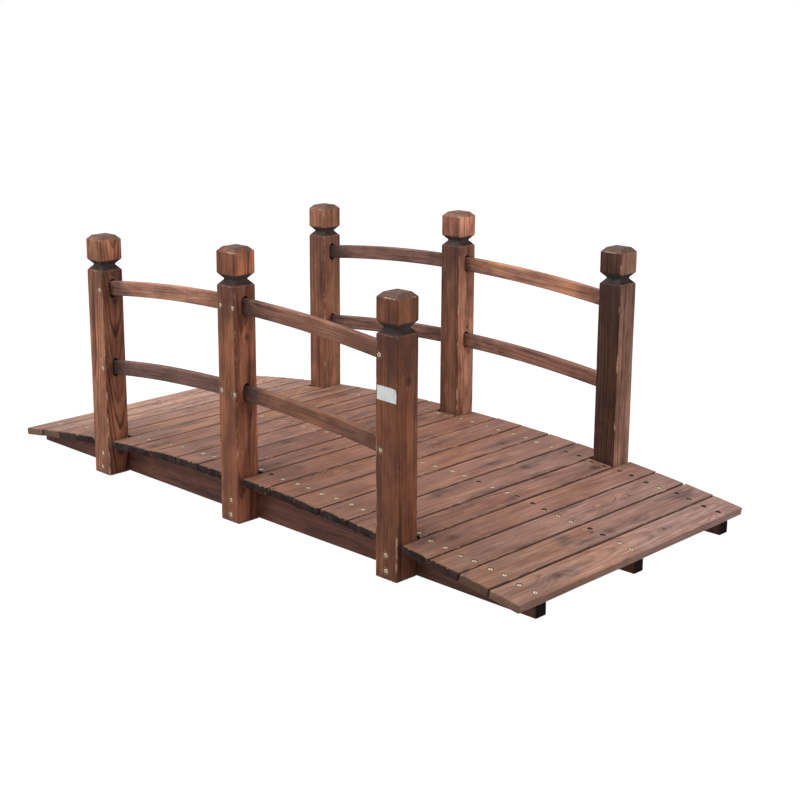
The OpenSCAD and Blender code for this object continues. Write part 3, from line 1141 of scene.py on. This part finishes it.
def zinc(name, bright, dull):
    """Yellow zinc plating, dulled and scratched."""
    material, g, shader = new_material(name)
    place = g.scaled(g.local(), 1 / MM)
    cloud = g.noise(g.scaled(place, 0.35), 3.0, 0.6)
    scratch = g.grain(place, 0.6, 4.0, 2.0, 0.6)
    base = g.mix(g.smooth(cloud, 0.35, 0.7), bright, dull)
    base = g.mix(g.smooth(scratch, 0.58, 0.7) * 0.5, base, "efe2c6")
    dress(g, shader, base, cloud * 0.2 + 0.34, scratch, 0.0001)
    shader.inputs["Metallic"].default_value = 0.4
    return material


def recess_shade():
    """Painted shade in the screws' cross recesses, a dark and grainy brown."""
    material, g, shader = new_material("recess_shade")
    grit = g.noise(g.scaled(g.local(), 1.5 / MM), 3.0, 0.6)
    dress(g, shader, g.mix(grit, "241c17", "55443a"), grit * 0.25 + 0.7, grit, 0.0002)
    return material


def paper():
    """Blank off-white sticker with faint fibres and soiling."""
    material, g, shader = new_material("blank_paper")
    place = g.scaled(g.local(), 1 / MM)
    soil = g.noise(g.scaled(place, 0.09), 4.0, 0.6)
    fibre = g.noise(g.scaled(place, 1.6), 3.0, 0.6)
    base = g.mix(g.smooth(soil, 0.45, 0.75), "fdfcfd", "ebe8e8")
    dress(g, shader, base, fibre * 0.15 + 0.45, fibre, 0.00005)
    return material


# Stage, light and camera

def shown_directly(g):
    """1 for rays that show the background itself: from the camera, in gloss, or through glass."""
    rays = ("Is Camera Ray", "Is Glossy Ray", "Is Transmission Ray")
    return g.highest(*(g.add("ShaderNodeLightPath", output=ray) for ray in rays))


FLOOR_HALF = 30.0
FLOOR_DROP = 0.4
FLOOR_SHOWN_WHITE = 0.88
# Metres from the middle of the deck where the floor's full shadow starts and where it is complete
UNDER_DECK_X = (0.66, 0.58)
UNDER_DECK_Y = (0.29, 0.22)


def white_floor():
    """White floor that keeps a faint shadow, and a full one under the deck.

    It is clear when seen from below, and lets a little light up to the deck's underside.
    """
    mesh = bmesh.new()
    bmesh.ops.create_grid(mesh, x_segments=8, y_segments=8, size=FLOOR_HALF / MM)
    floor = make_object("studio_floor", mesh, Matrix.Translation((0, 0, -FLOOR_DROP)))
    material = bpy.data.materials.new("studio_white")
    material.use_nodes = True
    material.node_tree.nodes.clear()
    g = Graph(material.node_tree)
    shown = shown_directly(g)
    x, y, _ = g.split(g.local())
    under = g.smooth(abs(x), *UNDER_DECK_X) * g.smooth(abs(y), *UNDER_DECK_Y)
    matt = g.add("ShaderNodeBsdfDiffuse", {"Color": g.mix(shown, "8c8c8c", "f4f4f4")})
    white = g.add("ShaderNodeEmission", {"Strength": 1.0 / FLOOR_SHOWN_WHITE})
    top = g.mix_shader(shown * FLOOR_SHOWN_WHITE * (1.0 - under), matt, white)
    from_below = g.add("ShaderNodeNewGeometry", output="Backfacing")
    cleared = g.highest(from_below, under * (1.0 - shown))
    surface = g.mix_shader(cleared, top, g.add("ShaderNodeBsdfTransparent"))
    g.node("ShaderNodeOutputMaterial", {0: surface})
    floor.data.materials.append(material)


WORLD_LIGHT = 0.3


def white_world():
    """Even white surroundings, dimmer as a light than as a background."""
    world = bpy.data.worlds.new("studio")
    bpy.context.scene.world = world
    world.use_nodes = True
    g = Graph(world.node_tree)
    background = world.node_tree.nodes["Background"]
    background.inputs["Color"].default_value = (1.0, 1.0, 1.0, 1.0)
    g.plug(background.inputs["Strength"], shown_directly(g) * (1.0 - WORLD_LIGHT) + WORLD_LIGHT)


# Large square lamps, all aimed at one point, as (name, place and size in metres, power in watts)
LAMP_AIM = (0.0, 0.0, 0.2)
SOFTBOXES = (
    ("overhead_softbox", (-0.5, -1.2, 3.4), 2.4, 92),
    ("front_left_softbox", (-1.8, -3.6, 2.0), 2.0, 34),
    ("right_softbox", (3.8, 0.4, 2.0), 2.0, 30),
)


def softboxes():
    """The lamps."""
    for name, place, size, power in SOFTBOXES:
        data = bpy.data.lights.new(name, "AREA")
        data.energy = power
        data.size = size
        lamp = bpy.data.objects.new(name, data)
        lamp.location = place
        lamp.rotation_euler = (Vector(LAMP_AIM) - Vector(place)).to_track_quat("-Z", "Y").to_euler()
        bpy.context.scene.collection.objects.link(lamp)


# Camera worked out from the picture: place in millimetres, angles in degrees, focal length and optical centre
# in pixels of an 800 pixel square
IMAGE_SIZE = 800
CAMERA_PLACE = (2244.3, -2210.5, 1053.8)
CAMERA_YAW = 135.01
CAMERA_PITCH = -13.52
FOCAL_PX = 1511.6
CENTRE_PX = (366.0, 350.0)
SENSOR_MM = 36.0


def camera():
    """Camera at the photograph's place and angle."""
    data = bpy.data.cameras.new("camera")
    data.sensor_width = SENSOR_MM
    data.lens = FOCAL_PX / IMAGE_SIZE * SENSOR_MM
    data.shift_x = (IMAGE_SIZE / 2 - CENTRE_PX[0]) / IMAGE_SIZE
    data.shift_y = (CENTRE_PX[1] - IMAGE_SIZE / 2) / IMAGE_SIZE
    view = bpy.data.objects.new("camera", data)
    yaw, pitch = math.radians(CAMERA_YAW), math.radians(CAMERA_PITCH)
    forward = Vector((math.cos(yaw) * math.cos(pitch), math.sin(yaw) * math.cos(pitch), math.sin(pitch)))
    view.location = Vector(CAMERA_PLACE) * MM
    view.rotation_euler = forward.to_track_quat("-Z", "Y").to_euler()
    bpy.context.scene.collection.objects.link(view)
    bpy.context.scene.camera = view


def build():
    """Makes every piece of the bridge."""
    woods = {name: wood(name) for name in LOOKS}
    clean_zinc = zinc("yellow_zinc", "f0dfc0", "d0b189")
    trodden_zinc = zinc("trodden_zinc", "fbebd0", "dcc097")
    recess_shade_material = recess_shade()
    deck_heads, post_heads = bmesh.new(), bmesh.new()
    for place in ("left", "middle", "right"):
        stringer(place, woods["stringer_wood"])
    for number in range(1, BOARD_COUNT + 1):
        deck_board(number, woods["deck_wood"], deck_heads)
    for side in SIDES:
        for station in STATIONS:
            post(side, station, woods["post_wood"], post_heads)
        for bay in BAYS:
            for level in LEVELS:
                rail(side, bay, level, woods["rail_wood"])
    screw_set("deck_screws", deck_heads, "deck_wood", trodden_zinc, recess_shade_material)
    screw_set("post_screws", post_heads, "post_wood", clean_zinc, recess_shade_material)
    blank_label(paper())


build()
white_floor()
white_world()
softboxes()
camera()
bpy.context.scene.view_settings.view_transform = "Standard"
